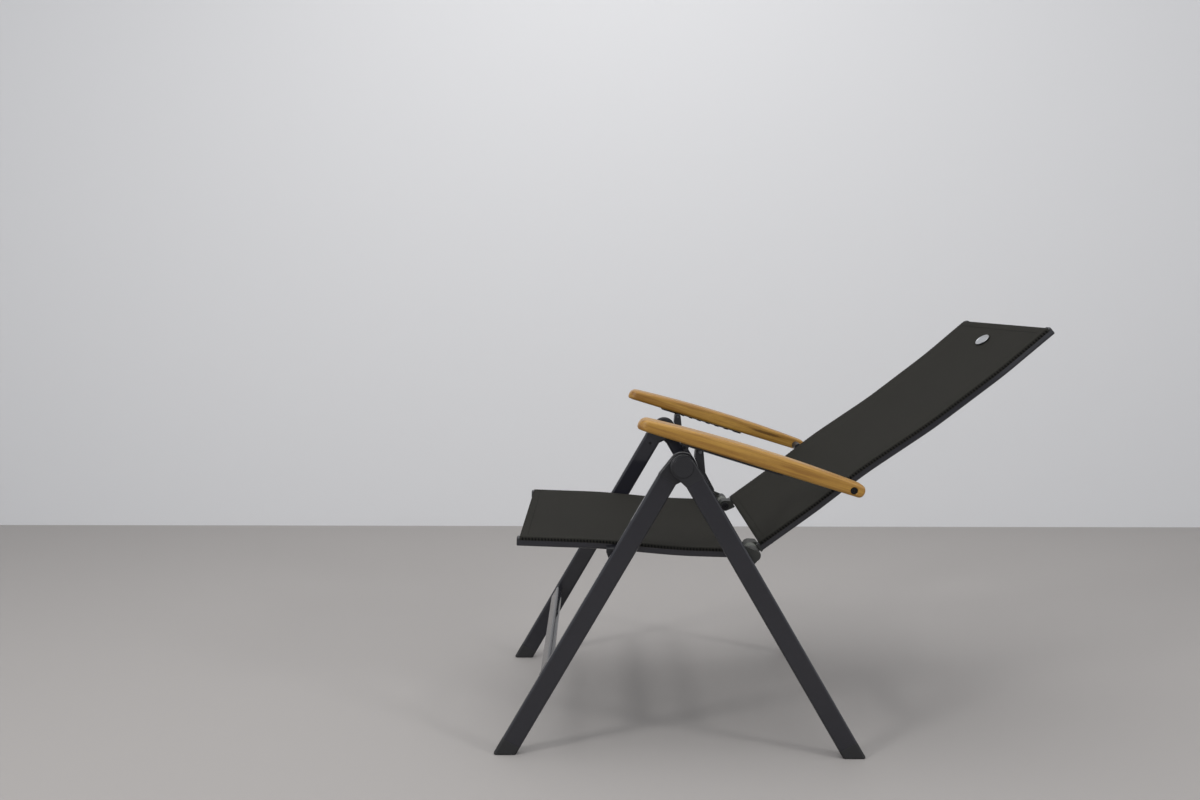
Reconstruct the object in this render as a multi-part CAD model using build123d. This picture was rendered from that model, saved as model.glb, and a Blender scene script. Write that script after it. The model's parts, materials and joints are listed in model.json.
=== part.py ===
from build123d import *
from math import atan2, cos, degrees, radians, sin
import os

os.makedirs("parts", exist_ok=True)

# Reclining folding garden armchair. Lengths in millimetres, angles in degrees.
# X runs across the chair (+X is the sitter's left), +Y to the back, +Z up.
# The chair is drawn from the floor point under its main frame joint and is
# moved at the end, so that its origin lies under the middle of its outline.
# Pieces of the +X side are drawn and those of the other side are mirrored.

# Leg frames
frame_width = 570.0
fold_travel = 56.0
joint_height = 582.0
rear_rake = 30.2
front_rake = 29.8
rear_setback = 6.5
front_lead = 12.0
leg_depth = 40.0
leg_thickness = 15.0
leg_wall = 1.6
leg_corner = 5.5
leg_gap = 0.5
seam_drop = 37.0
spigot_length = 30.0
spigot_play = 0.1
foot_height = 25.0
foot_rounding = 2.5

# Main joint heads, bolt and cover cap
rear_head_radius = 24.0
front_head_radius = 27.0
head_rounding = 4.0
pivot_bolt_radius = 5.0
running_play = 0.05
nut_radius = 9.0
nut_height = 8.0
nut_rounding = 3.0
bolt_head_radius = 9.0
bolt_head_height = 4.0
cap_radius = 20.0
cap_rise = 1.6
cap_play = 0.3
cap_rounding = 1.2
tube_rivet_radius = 3.0
tube_rivet_rise = 0.8
tube_rivet_drop = 11.0

# Cross bars
stretcher_width = 35.0
stretcher_depth = 15.0
stretcher_wall = 1.6
stretcher_drop = 489.0
stretcher_inset = 1.5
crossbar_radius = 8.0
crossbar_wall = 1.5
crossbar_drop = 247.0
crossbar_setback = 10.0

# Backrest hinge
hinge_drop = 223.5
hinge_standoff = 8.0
hub_radius = 12.5
hub_rounding = 4.0
hub_length = 90.0
ring_width = 30.0
sleeve_width = 24.5
hub_gap = 0.5
hinge_bolt_radius = 6.0
hinge_bolt_head_radius = 8.5
hinge_bolt_head_height = 5.5
hinge_socket_radius = 3.5
hinge_socket_depth = 3.0
flange_length = 44.0
flange_lead = 10.0
flange_thickness = 10.0
flange_inset = 1.5
flange_rounding = 2.0

# Armrest post and its lock pin
post_tip_radius = 7.4
post_inner_reach = 10.0
post_waist_radius = 11.5
post_waist_drop = 30.0
post_waist_setback = 20.5
post_foot_radius = 11.0
post_foot_drop = 66.0
post_foot_setback = 20.0
post_foot_thickness = 9.0
post_play = 1.0
post_rounding = 1.5
lock_pin_radius = 3.0
post_screw_radius = 4.0
post_screw_rise = 1.5

# Backrest. Places along it are measured from the hinge, heights above the
# line from the hinge to the armrest bolt.
back_angle = 36.6
back_steps = 7
recline_travel = 39.0
back_side_gap = 48.0
back_rail_width = 20.0
back_rail_height = 17.0
back_rail_start = 18.0
back_rail_length = 704.0
back_rail_bend = 900.0
back_bend_place_shares = (0.0, 0.19, 0.36, 0.585, 0.825, 1.0)
back_bend_heights = (-7.5, -7.5, -3.1, -8.5, -4.0, 6.0)
back_bolt_rise = 4.770588
rail_wall = 1.6
rail_corner = 4.5
rail_slot = 2.4
rail_slot_inset = 4.2
rail_cap_thickness = 3.0
rail_cap_spigot = 14.0
rail_cap_rounding = 2.4
back_bar_radius = 6.0
back_bar_inset = 13.0
bar_wall = 1.2

# Hinge tongues that close the rails' lower ends
tongue_flange = 4.5
tongue_spigot = 30.0
tongue_rivet_radius = 3.2
tongue_rivet_rise = 1.6
tongue_rivet_place = 24.0

# Seat. Places along it are measured from its pivot bolt.
seat_pivot_drop = 228.0
seat_side_gap = 19.5
seat_rail_width = 18.0
seat_rail_height = 18.0
seat_rail_rise = 28.0
seat_front_reach = 196.0
seat_rear_reach = 243.0
seat_rail_bend = 1200.0
seat_bend_place_shares = (-1.0, -0.16, 0.51, 1.0)
seat_bend_heights = (6.5, 1.0, -13.5, -17.0)
seat_bar_radius = 7.0
seat_bar_inset = 20.0
bracket_thickness = 14.0
bracket_width = 44.0
bracket_radius = 15.0
bracket_lap = 8.0
bracket_rounding = 1.5
seat_bolt_radius = 4.0
seat_bolt_head_radius = 7.0
seat_bolt_head_height = 4.0
seat_bolt_bite = 6.0
rest_radius = 10.0
rest_pad_radius = 5.0
rest_reach = 240.0
rest_width = 17.0
rest_rounding = 1.0

# Fabric panels and the bare plate on the backrest
fabric_thickness = 1.6
fabric_clearance = 0.3
fabric_side_inset = 3.0
seat_fabric_end_inset = 3.0
back_fabric_start = 2.5
back_fabric_end_inset = 3.0
plate_length = 46.0
plate_width = 30.0
plate_thickness = 1.2
plate_inset = 55.0
plate_rounding = 0.5

# Armrests. Places along them are measured from the armrest bolt.
armrest_bolt_reach = 226.0
post_reach = 233.4
post_angle = 81.5
armrest_slope = 17.2
armrest_follow = 0.605
armrest_overhang = 15.0
armrest_front_width = 55.0
armrest_rear_width = 38.0
armrest_front_reach = 428.0
armrest_rear_reach = 22.0
armrest_bolt_rise = 10.5
armrest_front_height = 21.5
armrest_middle_height = 31.0
armrest_rear_height = 24.5
armrest_middle_share = 0.37
armrest_nose_slope = 13.0
armrest_edge_rounding = 5.0
armrest_tail_rounding = 10.5
armrest_front_corner = 18.0
arm_bolt_radius = 3.0
arm_bolt_head_radius = 6.5
arm_bolt_head_height = 3.2
arm_bolt_recess = 5.0
arm_bolt_recess_radius = 7.2
arm_bolt_socket_radius = 2.5
arm_nut_radius = 3.8
arm_nut_height = 4.5
arm_spacer_radius = 9.0
arm_spacer_play = 0.4

# Notched racks under the armrests
rack_width = 17.0
rack_thickness = 4.5
rack_wall = 1.6
rack_inset = 12.0
rack_front_margin = 42.0
rack_rear_margin = 30.0
notch_radius = 3.5
notch_lead = 7.5
rack_rounding = 2.5
rack_screw_radius = 1.8
rack_screw_head_radius = 3.6
rack_screw_length = 20.0
rack_screw_inset = 10.0

# One overrun for every cut, and the slope below which a face counts as upright
overrun = 5.0
level_share = 0.05

# Side places and directions. A side point is a Vector of its Y and Z.
def point_from(start, heading, along, across=0.0):
    a = radians(heading)
    return Vector(
        start.X + along * cos(a) - across * sin(a),
        start.Y + along * sin(a) + across * cos(a),
    )


def side_plane(x, point, heading):
    # Its X axis runs along the heading, in degrees up from straight back,
    # its Y axis square to that in the side view, and its Z axis along +X.
    a = radians(heading)
    return Plane(origin=(x, point.X, point.Y), x_dir=(0, cos(a), sin(a)), z_dir=(1, 0, 0))


rear_heading = rear_rake - 90
front_heading = -90 - front_rake
joint = Vector(0, joint_height)
rear_inner = frame_width / 2 - leg_thickness
front_outer = rear_inner - leg_gap
front_inner = front_outer - leg_thickness
seat_rail_outer = front_inner - seat_side_gap
back_rail_outer = rear_inner - back_side_gap
hub_inner_end = rear_inner - hub_length
armrest_outer = frame_width / 2 + armrest_overhang
rack_outer = armrest_outer - rack_inset
lock_pin_end = rack_outer - rack_wall - arm_spacer_play

hinge_setback = rear_setback + leg_depth / 2 + hinge_standoff
hinge = point_from(joint, rear_heading, hinge_drop, hinge_setback)
crossbar_point = point_from(joint, rear_heading, crossbar_drop, crossbar_setback)
seat_pivot = point_from(joint, front_heading, seat_pivot_drop, -front_lead)
arm_pivot = point_from(hinge, back_angle, armrest_bolt_reach)
lock_point = point_from(hinge, back_angle + post_angle, post_reach)

ring_end = hub_inner_end + ring_width
sleeve_start = ring_end + hub_gap
sleeve_end = sleeve_start + sleeve_width
housing_start = sleeve_end + hub_gap
back_rail_inner = back_rail_outer - back_rail_width
seat_rail_inner = seat_rail_outer - seat_rail_width
bracket_outer = seat_rail_outer + bracket_thickness


def cylinder_across(point, radius, x_start, x_end):
    plane = side_plane(x_start, point, 0)
    return extrude(plane * Circle(radius), amount=x_end - x_start)


def ring_across(point, outer, inner, x_start, x_end):
    plane = side_plane(x_start, point, 0)
    return extrude(plane * (Circle(outer) - Circle(inner)), amount=x_end - x_start)


def hull_of(*outlines):
    edges = [edge for outline in outlines for edge in outline.edges()]
    return make_hull(edges)


def edges_at(solid, axis, place):
    return solid.edges().filter_by_position(axis, place, place)


# Legs
def leg_section():
    return RectangleRounded(leg_depth, leg_thickness, leg_corner)


def leg_core(play=0.0):
    trim = leg_wall + play
    return RectangleRounded(leg_depth - 2 * trim, leg_thickness - 2 * trim, leg_corner - trim)


def cross_section_plane(frame, along, across):
    # Square to a member that runs along the X axis of its side frame.
    return Plane(
        origin=frame.from_local_coords((along, across, 0)), x_dir=frame.y_dir, z_dir=frame.x_dir
    )


def leg_end(heading, offset):
    # Length down the leg at which its centre line is foot_height above the floor.
    a = radians(heading)
    return (foot_height - joint_height - offset * cos(a)) / sin(a)


def leg_tube(x_inner, heading, offset):
    frame = side_plane(x_inner + leg_thickness / 2, joint, heading)
    length = leg_end(heading, offset) - seam_drop
    start = cross_section_plane(frame, seam_drop, offset)
    tube = extrude(start * (leg_section() - leg_core()), amount=length)
    rivet_place = point_from(joint, heading, seam_drop + tube_rivet_drop, offset)
    return tube - cylinder_across(
        rivet_place, tube_rivet_radius, x_inner - overrun, x_inner + leg_wall + overrun / 2
    )


def leg_foot(x_inner, heading, offset):
    frame = side_plane(x_inner + leg_thickness / 2, joint, heading)
    start = cross_section_plane(frame, leg_end(heading, offset), offset)
    block = extrude(start * leg_section(), amount=2 * foot_height)
    floor_cut = Pos(0, 0, -2 * foot_height) * Box(
        4 * frame_width, 4 * joint_height, 4 * foot_height
    )
    block = block - floor_cut
    block = fillet(edges_at(block, Axis.Z, 0), foot_rounding)
    spigot = extrude(start * leg_core(spigot_play), amount=-spigot_length)
    return block + spigot


def leg_head(x_inner, heading, offset, radius):
    frame = side_plane(x_inner, joint, heading)
    shoulder = Pos(seam_drop - head_rounding / 2, offset) * Rectangle(head_rounding, leg_depth)
    outline = hull_of(Circle(radius), shoulder)
    head = extrude(frame * outline, amount=leg_thickness)
    along = frame.to_local_coords
    long_edges = [
        edge
        for x in (x_inner, x_inner + leg_thickness)
        for edge in edges_at(head, Axis.X, x)
        if along(edge.center()).X < seam_drop - running_play
    ]
    head = fillet(long_edges, head_rounding)
    middle = side_plane(x_inner + leg_thickness / 2, joint, heading)
    seam = cross_section_plane(middle, seam_drop, offset)
    head = head + extrude(seam * leg_core(spigot_play), amount=spigot_length)
    bore = cylinder_across(
        joint, pivot_bolt_radius + running_play, x_inner - overrun, x_inner + leg_thickness + overrun
    )
    return head - bore


def tube_rivet(x_inner, heading, offset):
    place = point_from(joint, heading, seam_drop + tube_rivet_drop, offset)
    rivet = cylinder_across(place, tube_rivet_radius, x_inner - tube_rivet_rise, x_inner + leg_wall)
    return fillet(edges_at(rivet, Axis.X, x_inner - tube_rivet_rise), tube_rivet_rise / 2)


def rear_leg_head():
    head = leg_head(rear_inner, rear_heading, rear_setback, rear_head_radius)
    outer = frame_width / 2
    recess = cylinder_across(joint, cap_radius + cap_play, outer - bolt_head_height, outer + overrun)
    return head - recess


def pivot_bolt():
    # Shank through both heads, flat head under the cap and a domed nut inside.
    outer = frame_width / 2 - bolt_head_height
    inner = front_inner - cap_play
    shank = cylinder_across(joint, pivot_bolt_radius, inner - nut_height / 2, outer)
    nut = cylinder_across(joint, nut_radius, inner - nut_height, inner)
    nut = fillet(edges_at(nut, Axis.X, inner - nut_height), nut_rounding)
    head = cylinder_across(joint, bolt_head_radius, outer, outer + bolt_head_height / 2)
    return shank + nut + head


def pivot_cap():
    outer = frame_width / 2
    start = outer - bolt_head_height / 2
    cap = cylinder_across(joint, cap_radius, start, outer + cap_rise)
    cap = fillet(edges_at(cap, Axis.X, outer + cap_rise), cap_rounding)
    rim = ring_across(
        joint, cap_radius, bolt_head_radius + cap_rise, outer - bolt_head_height, start
    )
    return cap + rim


# Cross bars
def stretcher(half_width, heading, across):
    frame = side_plane(-half_width, joint, heading)
    outer = RectangleRounded(stretcher_width, stretcher_depth, leg_corner)
    inner = RectangleRounded(
        stretcher_width - 2 * stretcher_wall,
        stretcher_depth - 2 * stretcher_wall,
        leg_corner - stretcher_wall,
    )
    return extrude(frame * (Pos(stretcher_drop, across) * (outer - inner)), amount=2 * half_width)


def rear_crossbar():
    return ring_across(
        crossbar_point, crossbar_radius, crossbar_radius - crossbar_wall, -rear_inner, rear_inner
    )


# Armrest post: a moulding on the inner face of the rear leg's head. Its tip
# stands under the rack and carries the lock pin.
def armrest_post():
    frame = side_plane(front_inner - post_inner_reach, joint, rear_heading)
    tip = frame.to_local_coords(Vector(frame.origin.X, lock_point.X, lock_point.Y))
    tip_outline = Pos(tip.X, tip.Y) * Circle(post_tip_radius)
    waist = Pos(post_waist_drop, post_waist_setback) * Circle(post_waist_radius)
    foot = Pos(post_foot_drop, post_foot_setback) * Circle(post_foot_radius)
    finger = extrude(
        frame * hull_of(tip_outline, waist), amount=rear_inner - front_inner + post_inner_reach
    )
    finger = fillet(edges_at(finger, Axis.X, front_inner - post_inner_reach), post_rounding)
    strip_start = rear_inner - post_foot_thickness
    strip_frame = side_plane(strip_start, joint, rear_heading)
    strip = extrude(strip_frame * hull_of(waist, foot), amount=post_foot_thickness)
    post = finger + strip
    # Room for the front leg with the chair folded
    cut_start = front_inner - 2 * post_inner_reach
    folded = side_plane(cut_start, joint, front_heading + fold_travel)
    room_length = 2 * post_foot_drop
    leg_room = Pos(seam_drop + room_length / 2, -front_lead) * Rectangle(
        room_length, leg_depth + 2 * post_play
    )
    head_room = hull_of(Circle(front_head_radius + post_play), leg_room)
    post = post - extrude(folded * head_room, amount=leg_depth + post_inner_reach)
    return post - cylinder_across(lock_point, lock_pin_radius, cut_start, rear_inner + overrun)


def lock_pin():
    return cylinder_across(lock_point, lock_pin_radius, front_inner - post_inner_reach, lock_pin_end)


def post_screw():
    place = point_from(joint, rear_heading, post_foot_drop, post_foot_setback)
    start = rear_inner - post_foot_thickness
    screw = cylinder_across(place, post_screw_radius, start - post_screw_rise, start)
    return fillet(edges_at(screw, Axis.X, start - post_screw_rise), post_screw_rise / 2)


# Backrest hinge, fixed half
def hinge_housing():
    hub = cylinder_across(hinge, hub_radius, housing_start, rear_inner)
    hub = fillet(edges_at(hub, Axis.X, rear_inner), hub_rounding)
    frame = side_plane(rear_inner - flange_thickness, joint, rear_heading)
    leg_back = rear_setback + leg_depth / 2
    flange_front = flange_lead + flange_inset
    pad_depth = leg_back - flange_front
    pad_start = hinge_drop - 2 * flange_length / 3
    pad = Pos(pad_start + flange_length / 2, flange_front + pad_depth / 2) * RectangleRounded(
        flange_length, pad_depth, flange_rounding
    )
    boss = Pos(hinge_drop, hinge_setback) * Circle(hub_radius - flange_rounding)
    flange = extrude(frame * hull_of(pad, boss), amount=flange_thickness)
    housing = hub + flange
    return housing - cylinder_across(
        hinge, hinge_bolt_radius, housing_start - overrun, rear_inner - leg_wall
    )


def hinge_bolt():
    head_end = hub_inner_end - hub_gap
    head_start = head_end - hinge_bolt_head_height
    head = cylinder_across(hinge, hinge_bolt_head_radius, head_start, head_end)
    head = fillet(edges_at(head, Axis.X, head_start), hinge_bolt_head_height / 5)
    socket_plane = side_plane(head_start, hinge, 0)
    socket = extrude(socket_plane * RegularPolygon(hinge_socket_radius, 6), amount=hinge_socket_depth)
    shank = cylinder_across(hinge, hinge_bolt_radius, head_end, rear_inner - leg_wall)
    return head + shank - socket


# Backrest hinge, the sleeve between the housing and the tongue
def hinge_sleeve():
    bore = hinge_bolt_radius + running_play
    sleeve = ring_across(hinge, hub_radius, bore, sleeve_start, sleeve_end)
    outer = sleeve.edges().filter_by(GeomType.CIRCLE).sort_by(SortBy.RADIUS)[-2:]
    return fillet(outer, flange_rounding / 2)


# Rails of the seat and the backrest: a tube with a slot that holds the
# fabric's beaded edge.
def rail_section(width, height, slotted=True):
    outer = RectangleRounded(width, height, rail_corner)
    inner = RectangleRounded(width - 2 * rail_wall, height - 2 * rail_wall, rail_corner - rail_wall)
    slot = Pos(rail_slot_inset - width / 2 + rail_slot / 2, height / 2) * Rectangle(
        rail_slot, 4 * rail_wall
    )
    section = outer - inner
    return section - slot if slotted else section


def rail_plug_section(width, height):
    trim = rail_wall + spigot_play
    return RectangleRounded(width - 2 * trim, height - 2 * trim, rail_corner - trim)


def path_points(reaches, shares, heights, rise=0.0):
    # Shares run from -1 at the near end, through 0, to 1 at the far end.
    near, far = reaches
    return [
        ((far if share > 0 else near) * share, height + rise)
        for share, height in zip(shares, heights)
    ]


def curve_in(plane, points, bend):
    places = [plane.from_local_coords((along, height, 0)) for along, height in points]
    return FilletPolyline(*places, radius=bend)


def end_plane(path, at_end):
    # Its Y axis points up or forward from the panel, its X axis to the middle.
    place = 1 if at_end else 0
    return Plane(origin=path @ place, x_dir=(-1, 0, 0), z_dir=path % place)


def swept_rail(path, width, height):
    return sweep(end_plane(path, False) * rail_section(width, height), path=path)


def rail_cap(path, at_end, width, height):
    plane = end_plane(path, at_end)
    way = 1 if at_end else -1
    plate = extrude(
        plane * RectangleRounded(width, height, rail_corner), amount=way * rail_cap_thickness
    )
    far_face = plate.faces().sort_by(Axis(plane.origin, plane.z_dir * way))[-1]
    plate = fillet(far_face.edges(), rail_cap_rounding)
    plug = extrude(plane * rail_plug_section(width, height), amount=-way * rail_cap_spigot)
    return plate + plug


def height_on(points, along):
    # Height of the rail's line over a place along it.
    for (a0, h0), (a1, h1) in zip(points, points[1:]):
        if along <= a1:
            return h0 + (h1 - h0) * (along - a0) / (a1 - a0)
    return points[-1][1]


back_outline_points = [
    (back_rail_start + share * back_rail_length, height)
    for share, height in zip(back_bend_place_shares, back_bend_heights)
]
back_shift = -back_bolt_rise - height_on(back_outline_points, armrest_bolt_reach)
back_frame_points = [(along, height + back_shift) for along, height in back_outline_points]
plate_place = back_rail_start + back_rail_length - plate_inset
seat_frame_points = path_points(
    (seat_front_reach, seat_rear_reach), seat_bend_place_shares, seat_bend_heights, seat_rail_rise
)


def back_plane(x):
    return side_plane(x, hinge, back_angle)


def seat_plane(x):
    return side_plane(x, seat_pivot, 0)


def back_path():
    return curve_in(back_plane(back_rail_outer - back_rail_width / 2), back_frame_points, back_rail_bend)


def seat_path():
    return curve_in(seat_plane(seat_rail_outer - seat_rail_width / 2), seat_frame_points, seat_rail_bend)


def back_rail():
    rail = swept_rail(back_path(), back_rail_width, back_rail_height)
    bolt_hole = cylinder_across(
        arm_pivot, arm_bolt_radius + running_play, back_rail_inner - overrun, back_rail_outer + overrun
    )
    rivet = tongue_rivet()
    return rail - bolt_hole - rivet


def seat_rail():
    return swept_rail(seat_path(), seat_rail_width, seat_rail_height)


def bar_between(plane, points, along, half_width, radius):
    place = plane.from_local_coords((along, height_on(points, along), 0))
    return ring_across(
        Vector(place.Y, place.Z), radius, radius - bar_wall, -half_width, half_width
    )


def back_bar(along):
    return bar_between(back_plane(0), back_frame_points, along, back_rail_inner, back_bar_radius)


def seat_bar(along):
    return bar_between(seat_plane(0), seat_frame_points, along, seat_rail_inner, seat_bar_radius)


def fabric_panel(plane_at, points, bend, half_width, rail_height, start_trim, end_trim):
    low = rail_height / 2 + fabric_clearance
    high = low + fabric_thickness
    first = points[0][0] + start_trim
    last = points[-1][0] - end_trim
    inside = [p for p in points if first < p[0] < last]
    line = [(first, height_on(points, first))] + inside + [(last, height_on(points, last))]
    plane = plane_at(-half_width)
    bottom = [(a, h + low) for a, h in line]
    top = [(a, h + high) for a, h in line]
    under = curve_in(plane, bottom, bend)
    over = curve_in(plane, top, bend)
    ends = [Line(under @ 0, over @ 0), Line(under @ 1, over @ 1)]
    outline = Wire(under.edges() + over.edges() + [edge for end in ends for edge in end.edges()])
    return extrude(Face(outline), amount=2 * half_width, dir=(1, 0, 0))


def seat_fabric():
    return fabric_panel(
        seat_plane,
        seat_frame_points,
        seat_rail_bend,
        seat_rail_outer - fabric_side_inset,
        seat_rail_height,
        seat_fabric_end_inset,
        seat_fabric_end_inset,
    )


def back_fabric():
    return fabric_panel(
        back_plane,
        back_frame_points,
        back_rail_bend,
        back_rail_outer - fabric_side_inset,
        back_rail_height,
        back_fabric_start,
        back_fabric_end_inset,
    )


def oval_plate():
    # A bare oval plate near the head end of the backrest's fabric.
    step = plate_width / 2
    rise = height_on(back_frame_points, plate_place + step) - height_on(
        back_frame_points, plate_place - step
    )
    tilt = degrees(atan2(rise, 2 * step))
    lift = back_rail_height / 2 + 2 * fabric_clearance + fabric_thickness
    place = point_from(
        hinge, back_angle, plate_place, height_on(back_frame_points, plate_place) + lift
    )
    base = side_plane(0, place, back_angle + tilt)
    face = Plane(origin=base.origin, x_dir=(1, 0, 0), z_dir=base.y_dir)
    plate = extrude(face * Ellipse(plate_length / 2, plate_width / 2), amount=plate_thickness)
    top = plate.faces().sort_by(Axis(face.origin, face.z_dir))[-1]
    return fillet(top.edges(), plate_rounding)


# Hinge tongue: a ring on the hinge bolt, an arm and a plug in the rail
def hinge_tongue():
    frame = back_plane(hub_inner_end)
    base_height = back_frame_points[0][1]
    ring = Circle(hub_radius)
    arm_end = Pos(back_rail_start - tongue_flange / 2, base_height) * Rectangle(
        tongue_flange, back_rail_height
    )
    arm = extrude(frame * hull_of(ring, arm_end), amount=ring_width)
    path = back_path()
    plane = end_plane(path, False)
    flange = extrude(frame * arm_end, amount=back_rail_outer - hub_inner_end)
    plug = extrude(plane * rail_plug_section(back_rail_width, back_rail_height), amount=tongue_spigot)
    tongue = arm + flange + plug
    bore = cylinder_across(
        hinge, hinge_bolt_radius + running_play, hub_inner_end - overrun, ring_end + overrun
    )
    return tongue - bore - tongue_rivet()


def tongue_rivet():
    # A rivet through the rail's lower wall into the tongue's plug.
    along = back_rail_start + tongue_rivet_place
    middle = height_on(back_frame_points, along)
    low = middle - back_rail_height / 2 - tongue_rivet_rise
    place = point_from(hinge, back_angle, along, low)
    base = side_plane(back_rail_outer - back_rail_width / 2, place, back_angle)
    plane = Plane(origin=base.origin, x_dir=(1, 0, 0), z_dir=base.y_dir)
    rivet = extrude(plane * Circle(tongue_rivet_radius), amount=back_rail_height / 2)
    head = rivet.faces().sort_by(Axis(plane.origin, plane.z_dir))[0]
    return fillet(head.edges(), tongue_rivet_rise / 2)


# Seat pivot and rests
def seat_bracket():
    frame = seat_plane(seat_rail_outer)
    rail_low = height_on(seat_frame_points, 0) - seat_rail_height / 2
    lap = Pos(0, rail_low + bracket_lap / 2) * Rectangle(bracket_width, bracket_lap)
    block = extrude(frame * hull_of(Circle(bracket_radius), lap), amount=bracket_thickness)
    block = fillet(edges_at(block, Axis.X, bracket_outer), bracket_rounding)
    return block - cylinder_across(
        seat_pivot, seat_bolt_radius + running_play, seat_rail_outer - overrun, bracket_outer + overrun
    )


def seat_pivot_bolt():
    head_end = seat_rail_outer - hub_gap
    head = cylinder_across(
        seat_pivot, seat_bolt_head_radius, head_end - seat_bolt_head_height, head_end
    )
    head = fillet(
        edges_at(head, Axis.X, head_end - seat_bolt_head_height), seat_bolt_head_height / 4
    )
    shank = cylinder_across(seat_pivot, seat_bolt_radius, head_end, front_inner + seat_bolt_bite)
    collar = cylinder_across(
        seat_pivot, seat_bolt_head_radius, bracket_outer + hub_gap, front_inner
    )
    return head + shank + collar


def seat_rest():
    # A cradle clamped on the rear cross bar, reaching forward under the rail.
    x_start = seat_rail_outer - seat_rail_width / 2 - rest_width / 2
    frame = side_plane(x_start, seat_pivot, 0)
    bar = Vector(crossbar_point.X - seat_pivot.X, crossbar_point.Y - seat_pivot.Y)
    reach = rest_reach - rest_pad_radius
    rail_low = height_on(seat_frame_points, reach) - seat_rail_height / 2
    pad = Pos(reach, rail_low - fabric_clearance - rest_pad_radius) * Circle(rest_pad_radius)
    ring = Pos(bar.X, bar.Y) * Circle(rest_radius)
    block = extrude(frame * hull_of(ring, pad), amount=rest_width)
    block = fillet(block.edges().filter_by(GeomType.LINE, reverse=True), rest_rounding)
    return block - cylinder_across(
        crossbar_point, crossbar_radius, x_start - overrun, x_start + rest_width + overrun
    )


# Armrests. In an armrest's frame X runs back from its bolt and Y up from it.
def arm_frame(x):
    return side_plane(x, arm_pivot, -armrest_slope)


def armrest_outline():
    low = -armrest_bolt_rise
    front_low = (-armrest_front_reach, low)
    front_top = (armrest_nose_slope - armrest_front_reach, low + armrest_front_height)
    middle_top = (-armrest_middle_share * armrest_front_reach, low + armrest_middle_height)
    rear_top = (armrest_rear_reach, low + armrest_rear_height)
    rear_low = (armrest_rear_reach, low)
    edges = [
        Line(rear_low, front_low),
        Line(front_low, front_top),
        ThreePointArc(front_top, middle_top, rear_top),
        Line(rear_top, rear_low),
    ]
    outline = make_face(Curve() + edges)
    return fillet(outline.vertices().sort_by(Axis.X)[-2:], armrest_tail_rounding)


def armrest_plan():
    # Seen from above: X back along the armrest, Y inwards from its outer face.
    plan = make_face(
        Polyline(
            (-armrest_front_reach, 0),
            (armrest_rear_reach, 0),
            (armrest_rear_reach, armrest_rear_width),
            (-armrest_front_reach, armrest_front_width),
            close=True,
        )
    )
    return fillet(plan.vertices().sort_by(Axis.X)[:2], armrest_front_corner)


def armrest_width(along):
    share = (along + armrest_front_reach) / (armrest_rear_reach + armrest_front_reach)
    return armrest_front_width + share * (armrest_rear_width - armrest_front_width)


def armrest_blank():
    side = arm_frame(armrest_outer - armrest_front_width)
    body = extrude(side * armrest_outline(), amount=armrest_front_width)
    outer = arm_frame(armrest_outer)
    top_view = Plane(origin=outer.origin, x_dir=outer.x_dir, z_dir=outer.y_dir)
    wood = body & extrude(top_view * armrest_plan(), amount=2 * armrest_middle_height, both=True)
    upright = [f for f in wood.faces() if abs(f.normal_at(f.center()).dot(outer.y_dir)) < level_share]
    rim = [e for e in wood.edges() if sum(has_edge(f, e) for f in upright) == 1]
    return fillet(rim, armrest_edge_rounding)


def has_edge(face, edge):
    return any(edge.is_same(other) for other in face.edges())


def armrest():
    wood = armrest_blank()
    inner = armrest_outer - armrest_front_width
    bore = arm_bolt_radius + running_play
    wood = wood - cylinder_across(arm_pivot, bore, inner - overrun, armrest_outer + overrun)
    recess_start = armrest_outer - arm_bolt_recess
    wood = wood - cylinder_across(
        arm_pivot, arm_bolt_recess_radius, recess_start, armrest_outer + overrun
    )
    return wood - rack_screws()


def pin_in_armrest(raised):
    # Place of the lock pin in the armrest's frame with the back raised.
    bolt = point_from(hinge, back_angle + raised, armrest_bolt_reach)
    turn = radians((1 - armrest_follow) * raised - armrest_slope)
    back = lock_point.X - bolt.X
    up = lock_point.Y - bolt.Y
    return Vector(back * cos(turn) + up * sin(turn), up * cos(turn) - back * sin(turn))


def rack_ends():
    front = pin_in_armrest(0).X - rack_front_margin
    rear = pin_in_armrest(recline_travel).X + rack_rear_margin
    return front, rear


def rack_notch(along):
    low = -armrest_bolt_rise - rack_thickness
    seat = Pos(along, low) * Circle(notch_radius)
    lead = Pos(along + notch_radius + notch_lead, low - notch_radius / 2) * Circle(notch_radius / 2)
    return hull_of(seat, lead)


def armrest_rack():
    # A strip with one notch for each position of the backrest. Its outer wall
    # is left whole and hides the notches.
    front, rear = rack_ends()
    low = -armrest_bolt_rise - rack_thickness
    strip = Pos((front + rear) / 2, low + rack_thickness / 2) * Rectangle(
        rear - front, rack_thickness
    )
    lower = strip.vertices().sort_by(Axis.Y)[:2]
    outline = fillet(lower, rack_rounding)
    notches = [
        rack_notch(pin_in_armrest(recline_travel * step / (back_steps - 1)).X)
        for step in range(back_steps)
    ]
    frame = arm_frame(rack_outer - rack_width)
    rack = extrude(frame * outline, amount=rack_width)
    for notch in notches:
        rack = rack - extrude(frame * notch, amount=rack_width - rack_wall)
    return rack - rack_screws()


def rack_screw(along):
    frame = arm_frame(rack_outer - rack_width / 2)
    low = -armrest_bolt_rise - rack_thickness
    place = Plane(
        origin=frame.from_local_coords((along, low, 0)), x_dir=frame.x_dir, z_dir=frame.y_dir
    )
    sink = rack_screw_head_radius - rack_screw_radius
    shank = extrude(place * Circle(rack_screw_radius), amount=rack_screw_length)
    middle = place.offset(sink / 2)
    head = middle * Cone(rack_screw_head_radius, rack_screw_radius, sink)
    return shank + head


def rack_screws():
    front, rear = rack_ends()
    return rack_screw(front + rack_screw_inset) + rack_screw(rear - rack_screw_inset)


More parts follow.
